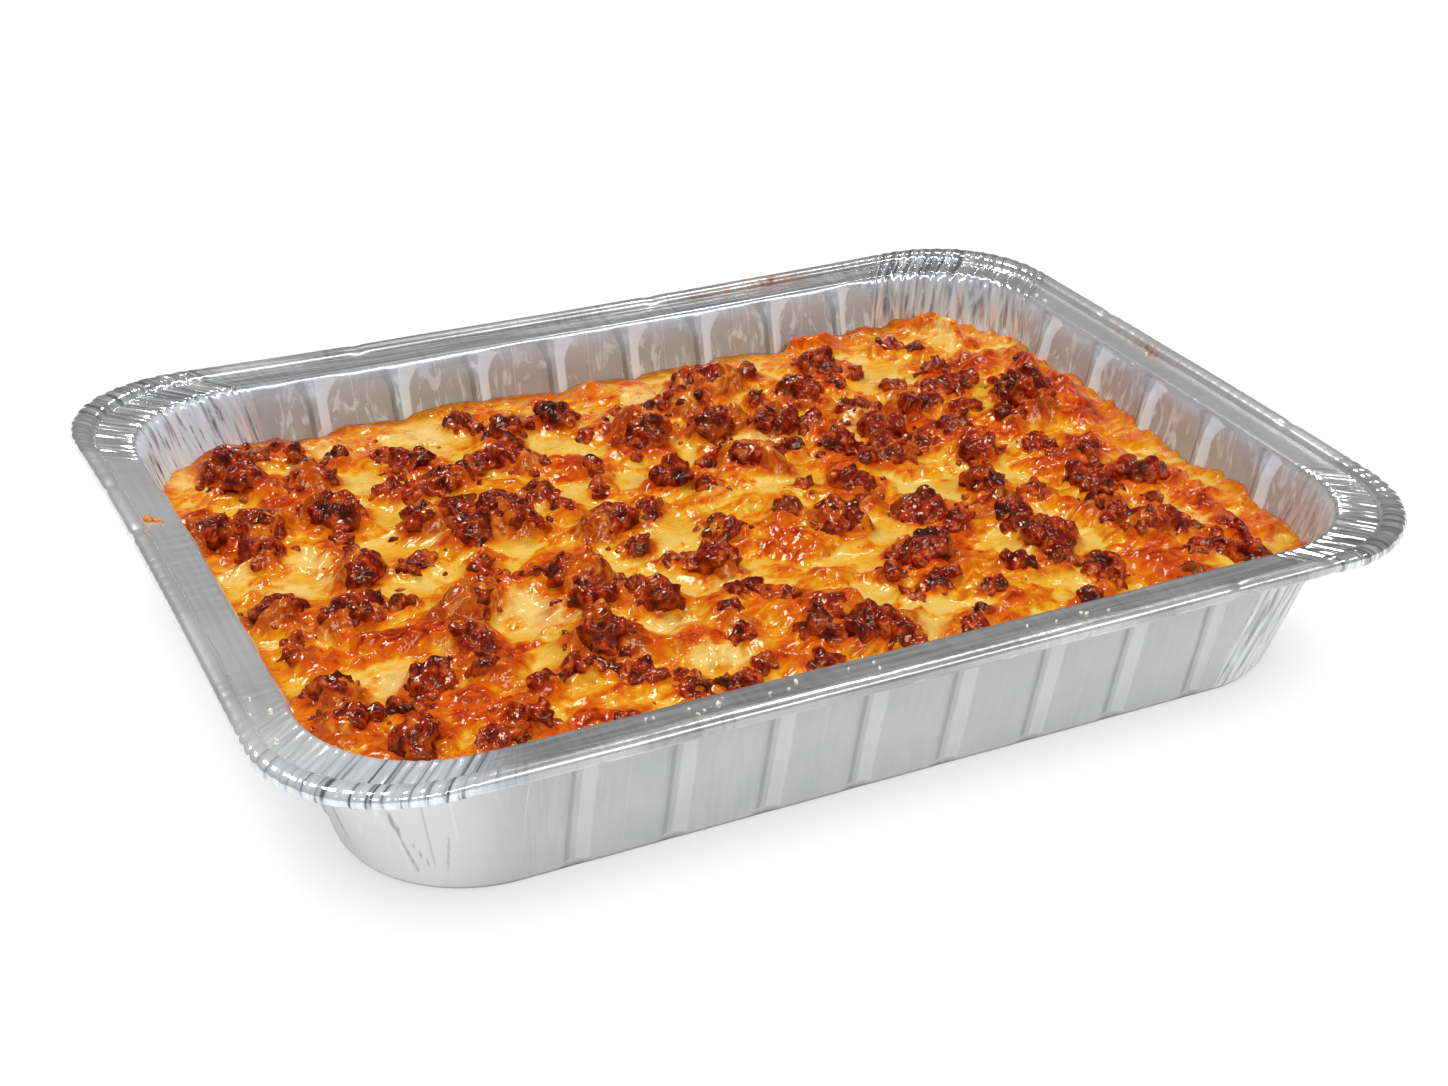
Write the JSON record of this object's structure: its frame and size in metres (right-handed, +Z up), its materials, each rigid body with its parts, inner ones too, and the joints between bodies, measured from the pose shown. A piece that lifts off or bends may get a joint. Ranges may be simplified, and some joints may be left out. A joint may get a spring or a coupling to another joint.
{
  "type": "foil tray meal",
  "caption": "Baked pasta with melted cheese and browned mince in a rectangular catering tray of thin foil, with a rolled rim, pleated corners and ribbed walls.",
  "frame": {"origin": "middle of the tray's base, on the surface it stands on", "axes": "+X along the tray's length, +Y across it, +Z up"},
  "size_m": [0.328, 0.253, 0.0502],
  "materials": {
    "foil": "bright thin foil, creased and pleated",
    "cheese": "glossy melted cheese, browned orange at the edges",
    "mince": "greasy dark red-brown browned mince"
  },
  "bodies": {
    "root": {"tray": "foil", "bake": "cheese", "mince_01": "mince", "mince_02": "mince", "mince_03": "mince", "mince_04": "mince", "mince_05": "mince", "mince_06": "mince", "mince_07": "mince", "mince_08": "mince", "mince_09": "mince", "mince_10": "mince", "mince_11": "mince", "mince_12": "mince", "mince_13": "mince", "mince_14": "mince", "mince_15": "mince", "mince_16": "mince", "mince_17": "mince", "mince_18": "mince", "mince_19": "mince", "mince_20": "mince", "mince_21": "mince", "mince_22": "mince", "mince_23": "mince", "mince_24": "mince", "mince_25": "mince", "mince_26": "mince", "mince_27": "mince", "mince_28": "mince", "mince_29": "mince", "mince_30": "mince", "mince_31": "mince", "mince_32": "mince", "mince_33": "mince", "mince_34": "mince", "mince_35": "mince", "mince_36": "mince", "mince_37": "mince", "mince_38": "mince", "mince_39": "mince", "mince_40": "mince", "mince_41": "mince", "mince_42": "mince", "mince_43": "mince", "mince_44": "mince", "mince_45": "mince", "mince_46": "mince", "mince_47": "mince", "mince_48": "mince", "mince_49": "mince", "mince_50": "mince", "mince_51": "mince", "mince_52": "mince", "mince_53": "mince", "mince_54": "mince", "mince_55": "mince", "mince_56": "mince", "mince_57": "mince"}
  },
  "joints": []
}
